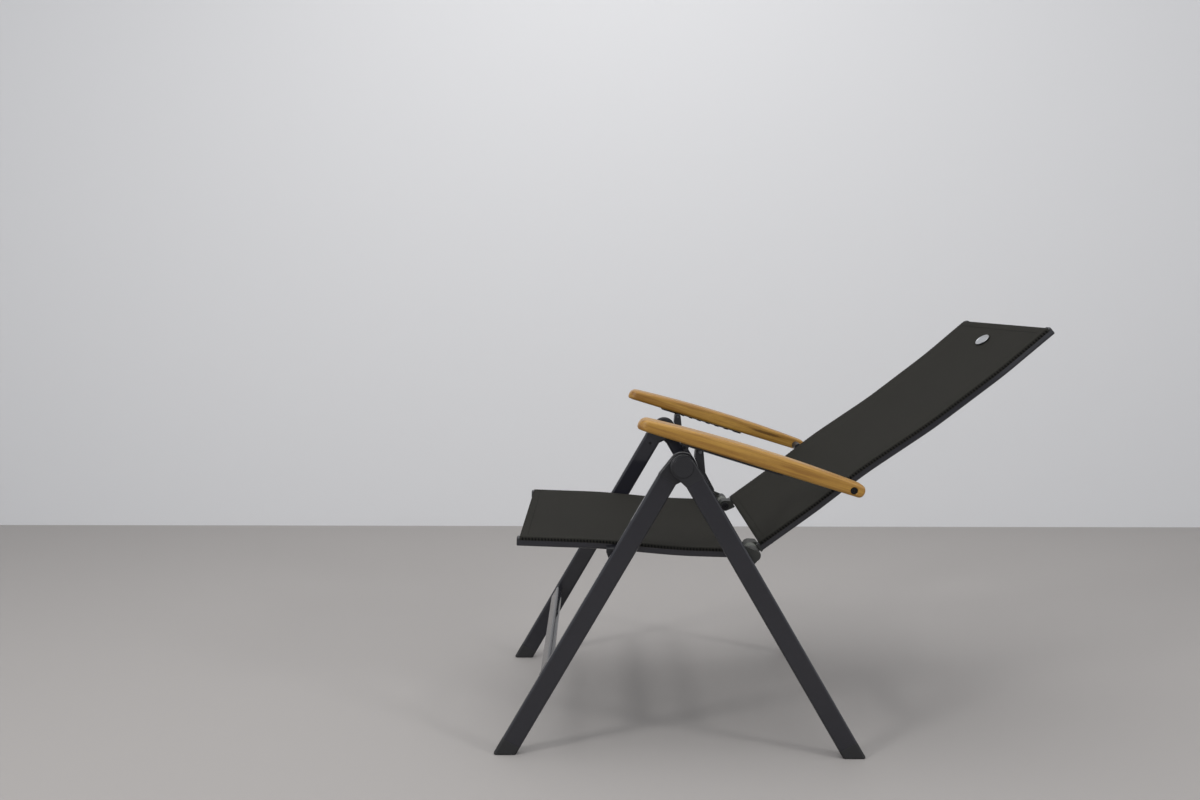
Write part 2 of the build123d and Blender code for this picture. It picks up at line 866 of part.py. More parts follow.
def arm_spacer():
    inner_face = armrest_outer - armrest_width(-arm_spacer_radius)
    return ring_across(
        arm_pivot,
        arm_spacer_radius,
        arm_bolt_radius,
        back_rail_outer + arm_spacer_play,
        inner_face - arm_spacer_play,
    )


def arm_bolt():
    # Head sunk in the armrest's outer face, nut on the rail's inner side.
    head_start = armrest_outer - arm_bolt_recess + running_play
    head_end = head_start + arm_bolt_head_height
    head = cylinder_across(arm_pivot, arm_bolt_head_radius, head_start, head_end)
    head = fillet(edges_at(head, Axis.X, head_end), arm_bolt_head_height / 4)
    socket_plane = side_plane(head_end - arm_bolt_head_height / 2, arm_pivot, 0)
    socket = extrude(
        socket_plane * RegularPolygon(arm_bolt_socket_radius, 6), amount=arm_bolt_head_height
    )
    nut_end = back_rail_inner - arm_spacer_play
    nut = cylinder_across(arm_pivot, arm_nut_radius, nut_end - arm_nut_height, nut_end)
    nut = fillet(edges_at(nut, Axis.X, nut_end - arm_nut_height), arm_nut_height / 4)
    shank = cylinder_across(arm_pivot, arm_bolt_radius, nut_end, head_start)
    return head - socket + shank + nut


# Assembly: nodes by name, drawn on the +X side and mirrored for the other
def both(solid):
    return [solid, mirror(solid, about=Plane.YZ)]


parts = {}


def add(name, solids):
    parts[name] = solids if isinstance(solids, list) else [solids]


def add_pair(name, solid):
    left, right = both(solid)
    add(name + "_left", left)
    add(name + "_right", right)


rear_leg = (rear_inner, rear_heading, rear_setback)
front_leg = (front_inner, front_heading, -front_lead)
front_stretcher_place = -front_lead - leg_depth / 2 + stretcher_inset + stretcher_depth / 2
rear_stretcher_place = rear_setback + leg_depth / 2 - stretcher_inset - stretcher_depth / 2

add_pair("rear_leg_tube", leg_tube(*rear_leg))
add_pair("rear_leg_head", rear_leg_head())
add_pair("rear_foot", leg_foot(*rear_leg))
add_pair("front_leg_tube", leg_tube(*front_leg) - seat_pivot_bolt())
add_pair("front_leg_head", leg_head(*front_leg, front_head_radius))
add_pair("front_foot", leg_foot(*front_leg))
add("leg_rivets_rear", both(tube_rivet(*rear_leg)))
add("leg_rivets_front", both(tube_rivet(*front_leg)))
add("pivot_bolts", both(pivot_bolt()))
add("pivot_caps", both(pivot_cap()))
add_pair("armrest_post", armrest_post())
add("lock_pins", both(lock_pin()))
add("post_screws", both(post_screw()))
add_pair("hinge_housing", hinge_housing())
add("hinge_bolts", both(hinge_bolt()))
add_pair("hinge_sleeve", hinge_sleeve())
add("rear_crossbar", rear_crossbar())
add("rear_stretcher", stretcher(rear_inner, rear_heading, rear_stretcher_place))
add("front_stretcher", stretcher(front_inner, front_heading, front_stretcher_place))
add_pair("seat_rest", seat_rest())

add_pair("seat_rail", seat_rail())
add("seat_front_bar", seat_bar(seat_bar_inset - seat_front_reach))
add("seat_rear_bar", seat_bar(seat_rear_reach - seat_bar_inset))
seat_caps = [rail_cap(seat_path(), at_end, seat_rail_width, seat_rail_height) for at_end in (False, True)]
add("seat_rail_caps", both(seat_caps[0]) + both(seat_caps[1]))
add_pair("seat_bracket", seat_bracket())
add("seat_pivot_bolts", both(seat_pivot_bolt()))
add("seat_fabric", seat_fabric())

add_pair("back_rail", back_rail())
add("back_bottom_bar", back_bar(back_rail_start + back_bar_inset))
add("back_top_bar", back_bar(back_rail_start + back_rail_length - back_bar_inset))
add("back_rail_caps", both(rail_cap(back_path(), True, back_rail_width, back_rail_height)))
add_pair("hinge_tongue", hinge_tongue())
add("tongue_rivets", both(tongue_rivet()))
add("back_fabric", back_fabric())
add("back_plate", oval_plate())

add_pair("armrest", armrest())
add_pair("armrest_rack", armrest_rack())
add_pair("rack_screws", rack_screws())
add_pair("arm_spacer", arm_spacer())
add("arm_bolts", both(arm_bolt()))

# Origin under the middle of the outline
boxes = [solid.bounding_box() for solids in parts.values() for solid in solids]
front_end = min(box.min.Y for box in boxes)
rear_end = max(box.max.Y for box in boxes)
shift_back = -(front_end + rear_end) / 2
shift_up = -min(box.min.Z for box in boxes)
move = Pos(0, shift_back, shift_up)

for name, solids in parts.items():
    moved = [move * solid for solid in solids]
    shape = moved[0] if len(moved) == 1 else Compound(moved)
    export_step(shape, os.path.join("parts", name + ".step"))
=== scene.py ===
"""Looks of a folding reclining garden armchair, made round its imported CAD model."""

import json
import math

import bmesh
import bpy
from mathutils import Matrix, Vector


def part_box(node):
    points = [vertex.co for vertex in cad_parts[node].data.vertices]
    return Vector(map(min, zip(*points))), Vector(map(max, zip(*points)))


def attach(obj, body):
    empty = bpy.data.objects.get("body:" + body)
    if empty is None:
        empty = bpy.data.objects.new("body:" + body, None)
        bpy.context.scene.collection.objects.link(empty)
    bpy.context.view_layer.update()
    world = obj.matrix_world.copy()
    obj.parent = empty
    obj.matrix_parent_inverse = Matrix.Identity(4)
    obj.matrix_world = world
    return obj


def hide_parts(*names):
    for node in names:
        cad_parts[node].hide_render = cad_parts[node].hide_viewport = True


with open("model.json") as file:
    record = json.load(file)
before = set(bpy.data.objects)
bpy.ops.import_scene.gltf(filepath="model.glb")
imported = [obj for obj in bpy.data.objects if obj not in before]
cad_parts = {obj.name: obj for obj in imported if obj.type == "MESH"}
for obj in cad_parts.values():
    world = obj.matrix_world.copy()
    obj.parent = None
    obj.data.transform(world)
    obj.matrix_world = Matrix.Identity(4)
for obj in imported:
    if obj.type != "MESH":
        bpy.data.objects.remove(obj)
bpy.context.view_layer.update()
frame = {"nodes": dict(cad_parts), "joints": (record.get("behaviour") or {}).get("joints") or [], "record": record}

bl_info = {
    "name": "Folding garden armchair",
    "version": (1, 0, 0),
    "blender": (4, 5, 0),
    "location": "View3D > Sidebar > Armchair",
    "description": "Fabric panels, seams, fittings and finishes of a folding garden armchair",
    "category": "Object",
}

MM = 0.001
JOINTS = {joint["name"]: joint for joint in frame["joints"]}
HINGE = Vector(JOINTS["recline"]["pos_m"])
ARM_BOLT = Vector(JOINTS["arm_tilt_left"]["pos_m"])
SENSOR_WIDTH = 36


def linear(*steps):
    """A colour given as steps of 0 to 255, as the linear values that shaders take."""
    shares = [step / 255 for step in steps]
    return tuple(((c + 0.055) / 1.055) ** 2.4 if c > 0.04 else c / 12.92 for c in shares)


def length_property(name, description, millimetres):
    """A length, given in millimetres and kept in metres."""
    return bpy.props.FloatProperty(
        name=name, description=description, default=millimetres * MM, unit="LENGTH", precision=5
    )


def share_property(name, description, default):
    """A share from 0 to 1."""
    return bpy.props.FloatProperty(
        name=name, description=description, default=default, min=0, max=1, subtype="FACTOR"
    )


def angle_property(name, description, degrees):
    """An angle, given in degrees and kept in radians."""
    return bpy.props.FloatProperty(
        name=name, description=description, default=math.radians(degrees), subtype="ANGLE"
    )


def colour_property(name, description, *steps):
    """A colour, given as steps of 0 to 255 and kept as linear values."""
    return bpy.props.FloatVectorProperty(
        name=name, description=description, default=linear(*steps), size=3, min=0, max=1, subtype="COLOR"
    )


class ArmchairSizes(bpy.types.PropertyGroup):
    """Sizes of the pieces that are made here."""

    cloth_thickness: length_property("Cloth thickness", "Thickness of the stretched cloth", 1.1)
    cloth_drop: length_property("Cloth drop", "How far the cloth lies under the top of its CAD solid", 0.5)
    seat_sag: length_property("Seat sag", "Dip of the seat's cloth between its rails", 3.5)
    back_sag: length_property("Back sag", "Dip of the back's cloth between its rails", 4)
    rail_corner: length_property("Rail corner", "Rounding of the rails' edges", 4.5)
    cloth_rise: length_property("Cloth rise", "From a rail's surface to the cloth's outer face", 1.4)
    wrap_depth: length_property("Wrap depth", "How far the cloth's edge turns down a rail's outer side", 6.4)
    cloth_step: length_property("Cloth step", "Spacing of the cloth's mesh along the rails", 8)
    hem_width: length_property("Hem width", "Width of the turned-under ends of the cloth", 18)
    seam_pitch: length_property("Seam pitch", "Spacing of the thread loops along the rails", 6.3)
    seam_drop: length_property("Seam drop", "From the cloth's face down to the middle of the loops", 3.6)
    seam_length: length_property("Seam loop length", "Length of one loop, square to the rail", 6.6)
    seam_width: length_property("Seam loop width", "Width of one thread loop", 3.1)
    seam_height: length_property("Seam loop height", "Rise of one thread loop", 1.8)
    hem_pitch: length_property("Hem stitch pitch", "Spacing of the stitches in the hems", 4)
    hem_stitch: length_property("Hem stitch length", "Length of one stitch in the hems", 2.8)
    hem_thread: length_property("Hem thread", "Width of the thread in the hems", 0.8)
    weld_pitch: length_property("Weld pitch", "Spacing of the ripples in a weld", 2.4)
    weld_size: length_property("Weld size", "Width of a weld bead", 4.2)
    # Width of the painted shade laid on the cloth where it turns down over the rails' outer corners
    painted_shade_band: length_property("Edge band", "Width of the doubled cloth at the rails", 3)
    armrest_slope: angle_property("Armrest slope", "Slope of the armrests, down to the back", 17.2)
    armrest_front: length_property("Armrest front", "From the armrest's bolt to its front end", 428)
    armrest_rear: length_property("Armrest rear", "From the armrest's bolt to its rear end", 22)
    armrest_low: length_property("Armrest underside", "From the bolt down to the underside", 10.5)
    armrest_front_height: length_property("Front height", "Height of the wood at its front end", 21.5)
    armrest_middle_height: length_property("Middle height", "Height of the wood where it is thickest", 31)
    armrest_rear_height: length_property("Rear height", "Height of the wood at its rear end", 24.5)
    armrest_middle: share_property("Thickest place", "Share of the front reach to the thickest wood", 0.37)
    armrest_front_width: length_property("Front width", "Width of the wood at its front end", 55)
    armrest_rear_width: length_property("Rear width", "Width of the wood at its rear end", 38)
    armrest_edge: length_property("Armrest edge", "Rounding of the wood's long edges", 6)
    armrest_nose: length_property("Armrest nose", "Rounding of the nose's top, seen from the side", 15)
    armrest_chin: length_property("Armrest chin", "Rounding under the nose, seen from the side", 3.5)
    armrest_corner: length_property("Armrest corner", "Rounding of the nose's corners, seen from above", 20)
    armrest_tail: length_property("Armrest tail", "Rounding of the rear end, seen from the side", 10.5)
    recess_radius: length_property("Recess radius", "Radius of the recess round the armrest's bolt", 7.2)
    recess_depth: length_property("Recess depth", "Depth of the recess round the armrest's bolt", 5)
    groove_depth: length_property("Groove depth", "Depth of the grooves in the hinge sleeves", 1.1)
    groove_width: length_property("Groove width", "Width of the grooves in the hinge sleeves", 1.8)
    plate_rim: length_property("Plate rim", "Width of the rim round the oval plate", 2)
    weave_pitch: length_property("Weave pitch", "Spacing of the cloth's yarns", 1.5)


class ArmchairColours(bpy.types.PropertyGroup):
    """Colours of the finishes."""

    coat: colour_property("Powder coat", "Anthracite coat of the tubes", 26, 26, 33)
    fitting: colour_property("Fitting plastic", "Moulded fittings of the frame", 33, 33, 36)
    hinge: colour_property("Hinge plastic", "Moulded hinge pieces of the back", 38, 39, 36)
    sleeve: colour_property("Hinge sleeve", "Lighter middle of the back's hinges", 92, 94, 88)
    foot: colour_property("Foot plastic", "Caps on the legs' lower ends", 30, 30, 31)
    cloth: colour_property("Cloth", "Olive-charcoal yarn of the panels", 40, 39, 36)
    # Cloth hollows also gives the painted shade along the rails' outer edges
    cloth_dark: colour_property("Cloth hollows", "Gaps between the yarns", 21, 21, 19)
    thread: colour_property("Thread", "Thread of the seams", 9, 9, 10)
    teak: colour_property("Teak", "Main colour of the armrests", 170, 127, 49)
    teak_dark: colour_property("Teak streaks", "Dark streaks of the armrests", 130, 88, 27)
    teak_pale: colour_property("Teak sapwood", "Pale streaks of the armrests", 194, 152, 73)
    steel: colour_property("Bright steel", "Lock pins and rack screws", 92, 93, 96)
    black_steel: colour_property("Black steel", "Bolts and rivets", 28, 28, 30)
    plate: colour_property("Plate", "Bare oval plate on the back", 186, 188, 190)
    floor: colour_property("Floor", "Pale floor", 160, 156, 153)
    backdrop: colour_property("Backdrop", "Pale background", 214, 214, 215)


class ArmchairView(bpy.types.PropertyGroup):
    """Place of the camera."""

    place: bpy.props.FloatVectorProperty(
        name="Camera place",
        description="Where the camera stands",
        default=(2.1396, -0.3436, 0.9175),
        subtype="XYZ",
    )
    pitch: angle_property("Pitch", "How far the camera looks down", 6.329)
    yaw: angle_property("Yaw", "How far the camera turns to its right", 0.191)
    roll: angle_property("Roll", "How far the camera leans", 0.162)
    lens: bpy.props.FloatProperty(
        name="Lens",
        description=f"Focal length on a {SENSOR_WIDTH} mm wide sensor",
        default=29.62,
        unit="CAMERA",
    )


def sizes():
    """The sizes as they are set in the scene."""
    return bpy.context.scene.armchair_sizes


def colours():
    """The colours as they are set in the scene."""
    return bpy.context.scene.armchair_colours


# Nodes of a material or a tree, made and joined in one line each
class Builder:
    """Adds nodes to a tree and joins them."""

    def __init__(self, tree):
        self.tree = tree

    def feed(self, socket, value):
        """Joins a socket to another node's output, or sets its own value."""
        if isinstance(value, bpy.types.NodeSocket):
            self.tree.links.new(value, socket)
        else:
            socket.default_value = value

    def add(self, kind, settings=None, **values):
        """A new node, with its settings and what its inputs take."""
        node = self.tree.nodes.new(kind)
        for name, value in (settings or {}).items():
            setattr(node, name, value)
        for name, value in values.items():
            self.feed(node.inputs[name.replace("_", " ")], value)
        return node

    def math(self, operation, *values):
        node = self.add("ShaderNodeMath", {"operation": operation})
        for socket, value in zip(node.inputs, values):
            self.feed(socket, value)
        return node.outputs["Value"]

    def mix(self, share, first, second, blend="MIX"):
        """Two colours mixed by a share of the second."""
        node = self.add("ShaderNodeMix", {"data_type": "RGBA", "blend_type": blend})
        inputs = {socket.identifier: socket for socket in node.inputs}
        self.feed(inputs["Factor_Float"], share)
        for name, colour in (("A_Color", first), ("B_Color", second)):
            self.feed(inputs[name], colour if isinstance(colour, bpy.types.NodeSocket) else (*colour, 1))
        return next(socket for socket in node.outputs if socket.identifier == "Result_Color")

    def ramp(self, value, *stops):
        """Greys that run between two stops, each a place and a grey."""
        node = self.add("ShaderNodeValToRGB", Fac=value)
        for element, (place, grey) in zip(node.color_ramp.elements, stops):
            element.position = place
            element.color = (grey, grey, grey, 1)
        return node.outputs["Color"]

    def stain(self, tone, mask, low, high, share, colour):
        """Lays a colour over a tone where a mask rises from low to high."""
        spread = self.ramp(mask, (low, 0.0), (high, 1.0))
        return self.mix(self.math("MULTIPLY", spread, share), tone, colour)

    def noise(self, vector, scale, detail=3.0, roughness=0.5):
        node = self.add("ShaderNodeTexNoise", Vector=vector, Scale=scale, Detail=detail, Roughness=roughness)
        return node.outputs["Fac"]

    def stretch(self, vector, scale, turn=(0, 0, 0)):
        node = self.add("ShaderNodeMapping", Vector=vector, Scale=scale, Rotation=turn)
        return node.outputs["Vector"]

    def split(self, vector):
        return self.add("ShaderNodeSeparateXYZ", Vector=vector).outputs

    def uv(self, name):
        return self.add("ShaderNodeUVMap", {"uv_map": name}).outputs["UV"]

    def place(self):
        return self.add("ShaderNodeTexCoord").outputs["Object"]


def new_material(name, **constants):
    """A material, the builder that adds to it, and its shader with the constants set."""
    material = bpy.data.materials.new(name)
    material.use_nodes = True
    shader = material.node_tree.nodes["Principled BSDF"]
    for socket, value in constants.items():
        shader.inputs[socket.replace("_", " ")].default_value = value
    return material, Builder(material.node_tree), shader


def join_shader(make, shader, tone, relief, strength, depth, gloss=None):
    """Feeds a material's colour, relief and, where given, uneven gloss to its shader."""
    make.feed(shader.inputs["Base Color"], tone)
    bump = make.add("ShaderNodeBump", Strength=strength, Distance=depth, Height=relief)
    make.feed(shader.inputs["Normal"], bump.outputs["Normal"])
    if gloss is not None:
        make.feed(shader.inputs["Roughness"], gloss)


def shaded(colour, factor):
    """A lighter or darker shade of a colour."""
    return tuple(min(1, c * factor) for c in colour)


def tinted(colour, factors):
    """A colour with each of its parts made stronger or weaker."""
    return tuple(c * factor for c, factor in zip(colour, factors))


def grained_finish(name, colour, roughness, grain, depth, spread=0.18, **constants):
    """A coat or moulded plastic: fine grain, cloudy colour and uneven gloss."""
    material, make, shader = new_material(name, **constants)
    place = make.place()
    cloud = make.noise(place, 14, 4)
    fine = make.noise(place, grain, 2)
    tone = make.mix(cloud, shaded(colour, 1 - spread), shaded(colour, 1 + spread))
    speckle = make.ramp(fine, (0.3, 0.35), (0.75, 0.65))
    tone = make.mix(0.35, tone, speckle, "OVERLAY")
    smoothest, roughest = roughness - 0.06, roughness + 0.08
    gloss = make.math("MULTIPLY_ADD", make.noise(place, 40, 3), roughest - smoothest, smoothest)
    join_shader(make, shader, tone, fine, 0.35, depth, gloss)
    return material


def powder_coat():
    """Satin coat of the tubes, with a thin clear skin that gives the edges their shine."""
    return grained_finish(
        "powder_coat", colours().coat, roughness=0.5, grain=1500, depth=0.03 * MM,
        Specular_IOR_Level=0.15, Coat_Weight=1.0, Coat_Roughness=0.07,
    )


def fitting_plastic():
    return grained_finish(
        "fitting_plastic", colours().fitting, roughness=0.55, grain=1100, depth=0.05 * MM,
        Specular_IOR_Level=0.3, Coat_Weight=0.25, Coat_Roughness=0.2,
    )


def hinge_plastic():
    return grained_finish(
        "hinge_plastic", colours().hinge, roughness=0.5, grain=900, depth=0.08 * MM, spread=0.25
    )


def sleeve_plastic():
    return grained_finish(
        "sleeve_plastic", colours().sleeve, roughness=0.55, grain=900, depth=0.08 * MM, spread=0.2
    )


def foot_plastic():
    return grained_finish("foot_plastic", colours().foot, roughness=0.6, grain=700, depth=0.12 * MM)


def black_steel():
    return grained_finish(
        "black_steel", colours().black_steel, roughness=0.38, grain=1300, depth=0.04 * MM, Metallic=0.6
    )


def brushed_finish(name, colour, roughness, stretch):
    """Bright metal with fine brush lines."""
    material, make, shader = new_material(name, Metallic=1.0)
    lines = make.noise(make.stretch(make.place(), stretch), 120, 4)
    tone = make.mix(lines, shaded(colour, 0.8), shaded(colour, 1.15))
    gloss = make.math("MULTIPLY_ADD", lines, 0.2, roughness - 0.1)
    join_shader(make, shader, tone, lines, 0.2, 0.05 * MM, gloss)
    return material


def bright_steel():
    return brushed_finish("bright_steel", colours().steel, roughness=0.36, stretch=(1, 30, 30))


def plate_finish():
    return brushed_finish("plate_finish", colours().plate, roughness=0.4, stretch=(1, 8, 8))


def thread_finish():
    """Twisted thread, darker between its strands."""
    material, make, shader = new_material("thread", Roughness=0.85, Specular_IOR_Level=0.1)
    twist = make.noise(make.stretch(make.place(), (1, 1.6, 1.6)), 1400, 2)
    thread = colours().thread
    tone = make.mix(twist, shaded(thread, 0.6), shaded(thread, 1.5))
    join_shader(make, shader, tone, twist, 0.5, 0.2 * MM)
    return material


def woven_cloth():
    """Plain weave of coated yarns, over and under, on the panel's lengthwise and crosswise places."""
    material, make, shader = new_material("woven_cloth", Specular_IOR_Level=0.1)
    turn = math.pi / sizes().weave_pitch
    uv = make.uv("cloth")
    parts = make.split(uv)
    along = make.math("SINE", make.math("MULTIPLY", parts["X"], turn))
    across = make.math("SINE", make.math("MULTIPLY", parts["Y"], turn))
    warp = make.math("ABSOLUTE", across)
    weft = make.math("ABSOLUTE", along)
    over = make.math("MULTIPLY", make.math("ADD", make.math("MULTIPLY", along, across), 1.0), 0.5)
    under = make.math("SUBTRACT", 1.0, over)
    yarn = make.math("MAXIMUM", make.math("MULTIPLY", warp, over), make.math("MULTIPLY", weft, under))
    base = colours().cloth
    tone = make.mix(make.ramp(yarn, (0.25, 0.0), (0.75, 1.0)), colours().cloth_dark, base)
    warm = tinted(base, (1.35, 1.3, 1.05))
    cool = tinted(base, (0.8, 0.82, 0.95))
    # Uneven yarns, first those along the panel and then those across it
    for stretch, share in (((1, 12, 1), 0.4), ((12, 1, 1), 0.3)):
        streaks = make.noise(make.stretch(uv, stretch), 260, 3)
        tint = make.mix(make.ramp(streaks, (0.42, 0.0), (0.6, 1.0)), cool, warm)
        tone = make.mix(share, tone, tint)
    cloud = make.math("MULTIPLY", make.noise(uv, 9, 3), 0.35)
    tone = make.mix(cloud, tone, make.mix(0.5, base, warm))
    # Painted shade: the cloth is darkened within a narrow band of the rails' outer edges, where it turns down over
    # their corners
    shade_painted = make.math("LESS_THAN", make.split(make.uv("edge"))["X"], sizes().painted_shade_band)
    tone = make.mix(make.math("MULTIPLY", shade_painted, 0.25), tone, colours().cloth_dark)
    gloss = make.math("MULTIPLY_ADD", yarn, -0.16, 0.92)
    join_shader(make, shader, tone, yarn, 0.7, 0.35 * MM, gloss)
    return material


def teak(name, slope, knot=None):
    """Oiled teak: long streaks, growth rings cut lengthwise, pores and, where given, a knot."""
    material, make, shader = new_material(name, Coat_Weight=0.08, Coat_Roughness=0.35)
    main, dark, pale = colours().teak, colours().teak_dark, colours().teak_pale
    dark_pore = shaded(dark, 0.55)
    place = make.stretch(make.place(), (1, 1, 1), (slope, 0, 0))
    parts = make.split(place)
    bend = make.math("MULTIPLY", make.noise(make.stretch(place, (6, 1.2, 6)), 4, 3), 0.016)
    rings = make.add(
        "ShaderNodeCombineXYZ",
        X=make.math("ADD", parts["X"], bend),
        Y=make.math("MULTIPLY", parts["Y"], 0.03),
        Z=make.math("ADD", parts["Z"], bend),
    ).outputs["Vector"]
    bands = make.noise(rings, 110, 4, 0.6)
    broad = make.noise(make.stretch(place, (14, 1.4, 14)), 3, 2)
    grain = make.noise(make.stretch(place, (60, 0.7, 60)), 7, 4, 0.65)
    fibre = make.noise(make.stretch(place, (60, 2.2, 60)), 28, 4, 0.7)
    pores = make.noise(make.stretch(place, (260, 9, 260)), 9, 2)
    tone = make.mix(make.ramp(bands, (0.36, 0.0), (0.62, 1.0)), dark, main)
    tone = make.stain(tone, broad, 0.45, 0.7, 0.6, pale)
    tone = make.stain(tone, grain, 0.5, 0.66, 0.6, dark)
    tone = make.stain(tone, fibre, 0.45, 0.8, 0.35, dark)
    tone = make.stain(tone, pores, 0.62, 0.72, 0.55, dark_pore)
    if knot is not None:
        squash = Vector((55, 11, 130))
        middle = Matrix.Rotation(slope, 3, "X") @ knot
        away = make.add("ShaderNodeVectorMath", {"operation": "DISTANCE"})
        make.feed(away.inputs[0], make.stretch(place, squash))
        make.feed(away.inputs[1], middle * squash)
        near = make.math("ADD", away.outputs["Value"], make.math("MULTIPLY", fibre, 0.9))
        tone = make.mix(make.ramp(near, (0.75, 0.95), (1.0, 0.0)), tone, dark_pore)
    gloss = make.math("MULTIPLY_ADD", fibre, 0.25, 0.3)
    relief = make.math("SUBTRACT", fibre, make.math("MULTIPLY", pores, 0.6))
    join_shader(make, shader, tone, relief, 0.3, 0.15 * MM, gloss)
    return material


# Meshes
def add_piece(name, mesh, material, body):
    """Puts a finished mesh in the scene as a piece that rides on a body."""
    mesh.materials.clear()
    mesh.materials.append(material)
    for face in mesh.polygons:
        face.use_smooth = True
    piece = loose_object(name, mesh)
    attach(piece, body)
    return piece


def loose_object(name, data):
    """A new object in the scene, which rides on nothing yet."""
    thing = bpy.data.objects.new(name, data)
    bpy.context.scene.collection.objects.link(thing)
    return thing


def evaluated_mesh(source):
    """The plain mesh that an object's modifiers make. The object is then removed."""
    depsgraph = bpy.context.evaluated_depsgraph_get()
    mesh = bpy.data.meshes.new_from_object(source.evaluated_get(depsgraph), depsgraph=depsgraph)
    bpy.data.objects.remove(source)
    return mesh


def mesh_of(shape, name):
    """The plain mesh of a shape that is then let go."""
    mesh = bpy.data.meshes.new(name)
    shape.to_mesh(mesh)
    shape.free()
    return mesh


def join_rings(shape, rings):
    """Faces between each ring of points and the next."""
    count = len(rings[0])
    for lower, upper in zip(rings, rings[1:]):
        for i in range(count):
            following = (i + 1) % count
            shape.faces.new((lower[i], lower[following], upper[following], upper[i]))


def turned_mesh(profile):
    """Closed ring turned about the X axis from (x, radius) points."""
    steps = 64
    turns = [2 * math.pi * i / steps for i in range(steps)]
    shape = bmesh.new()
    rings = [[shape.verts.new((x, r * math.cos(a), r * math.sin(a))) for a in turns] for x, r in profile]
    join_rings(shape, rings + rings[:1])
    bmesh.ops.recalc_face_normals(shape, faces=shape.faces)
    return mesh_of(shape, "turned")


def mirrored_mesh(mesh):
    """The mesh on the other side of the chair, with its faces still outward."""
    shape = bmesh.new()
    shape.from_mesh(mesh)
    for vertex in shape.verts:
        vertex.co.x = -vertex.co.x
    bmesh.ops.reverse_faces(shape, faces=shape.faces)
    return mesh_of(shape, mesh.name + "_mirrored")


def spaced(start, end, step):
    """Even places from start to end, about a step apart."""
    count = max(2, round((end - start) / step))
    return [start + (end - start) * i / count for i in range(count + 1)]


# Cloth panels
class Panel:
    """The top line of a panel's CAD solid, read along one side, and the cloth's surface over it."""

    def __init__(self, name, body, sag):
        self.name = name
        self.body = body
        self.sag = sag
        self.node = name + "_fabric"
        self.rails = [name + "_rail_left", name + "_rail_right"]
        low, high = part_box(self.rails[0])
        self.rail_inner, self.rail_outer = low.x, high.x
        self.read_line()
        self.start, self.end = self.line[0][0], self.line[-1][0]
        self.length = self.end - self.start

    def read_line(self):
        """Finds the panel's origin, its two directions and the (place, height) points of its top line."""
        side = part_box(self.node)[1].x - 0.5 * MM
        points = [v.co for v in frame["nodes"][self.node].data.vertices]
        edge = [Vector((0, p.y, p.z)) for p in points if p.x > side]
        self.origin = min(edge, key=lambda p: p.y)
        self.along = (max(edge, key=lambda p: p.y) - self.origin).normalized()
        self.up = Vector((0, -self.along.z, self.along.y))
        offsets = [p - self.origin for p in edge]
        self.line = []
        for place, height in sorted((offset.dot(self.along), offset.dot(self.up)) for offset in offsets):
            if self.line and place - self.line[-1][0] < 2 * MM:
                self.line[-1] = (self.line[-1][0], max(self.line[-1][1], height))
            else:
                self.line.append((place, height))

    def height(self, place):
        """Height of the top line at a place along the panel."""
        for (first, low), (last, high) in zip(self.line, self.line[1:]):
            if place <= last:
                share = max(0.0, (place - first) / (last - first))
                return low + (high - low) * share
        return self.line[-1][1]

    def dip(self, place, x):
        """How far the cloth hangs under the rails' line."""
        share_across = min(1.0, abs(x) / self.rail_inner)
        share_along = min(1.0, max(0.0, (place - self.start) / self.length))
        return self.sag * math.sqrt(math.sin(math.pi * share_along)) * (1 - share_across**2) ** 1.5

    def point(self, place, x, lift=0.0):
        """A point of the cloth's outer face, moved up by a lift."""
        height = self.height(place) - self.dip(place, x) - sizes().cloth_drop + lift
        return self.origin + self.along * place + self.up * height + Vector((x, 0, 0))

    def normal(self, place):
        """Direction square to the top line at a place along the panel."""
        step = 3 * MM
        rise = self.height(place + step) - self.height(place - step)
        return (self.up - self.along * (rise / (2 * step))).normalized()


def both_panels():
    """The seat's and the back's panel."""
    return Panel("seat", "seat", sizes().seat_sag), Panel("back", "backrest", sizes().back_sag)


def across_places(panel):
    """Crosswise places from side to side, each with its drop under the surface.

    The cloth lies flat between the rails and turns down round their outer corners.
    """
    corner_steps, half_steps = 5, 12
    bend = sizes().rail_corner + sizes().cloth_rise
    corner = panel.rail_outer - sizes().rail_corner
    half = [(corner + bend, sizes().wrap_depth), (corner + bend, bend + 0.2 * MM)]
    for i in range(corner_steps + 1):
        angle = math.pi / 2 * i / corner_steps
        half.append((corner + bend * math.cos(angle), bend - bend * math.sin(angle)))
    half.append((corner - 3 * MM, 0.0))
    half += [(panel.rail_inner * (1 - i / half_steps) ** 0.9, 0.0) for i in range(half_steps)]
    return [(-x, drop) for x, drop in half] + [(0.0, 0.0)] + [(x, drop) for x, drop in reversed(half)]


def running_lengths(across):
    """Length of cloth up to each crosswise place."""
    run = [0.0]
    for (x0, drop0), (x1, drop1) in zip(across, across[1:]):
        run.append(run[-1] + math.hypot(x1 - x0, drop1 - drop0))
    return run


def cloth_grid(panel, places, across, lift=0.0):
    """A grid of the panel's surface, with maps of its yarns and of the way in from its rails, in metres."""
    shape = bmesh.new()
    yarns = shape.loops.layers.uv.new("cloth")
    inward = shape.loops.layers.uv.new("edge")
    rows = [[shape.verts.new(panel.point(place, x, lift - drop)) for x, drop in across] for place in places]
    run = running_lengths(across)
    for i in range(len(places) - 1):
        for j in range(len(across) - 1):
            corners = ((i, j), (i, j + 1), (i + 1, j + 1), (i + 1, j))
            face = shape.faces.new([rows[a][b] for a, b in corners])
            for loop, (a, b) in zip(face.loops, corners):
                loop[yarns].uv = (places[a], run[b])
                loop[inward].uv = (panel.rail_outer - abs(across[b][0]), 0)
    bmesh.ops.recalc_face_normals(shape, faces=shape.faces)
    middle = shape.faces[len(shape.faces) // 2]
    middle.normal_update()
    if middle.normal.dot(panel.up) < 0:
        bmesh.ops.reverse_faces(shape, faces=shape.faces)
    return mesh_of(shape, "cloth")


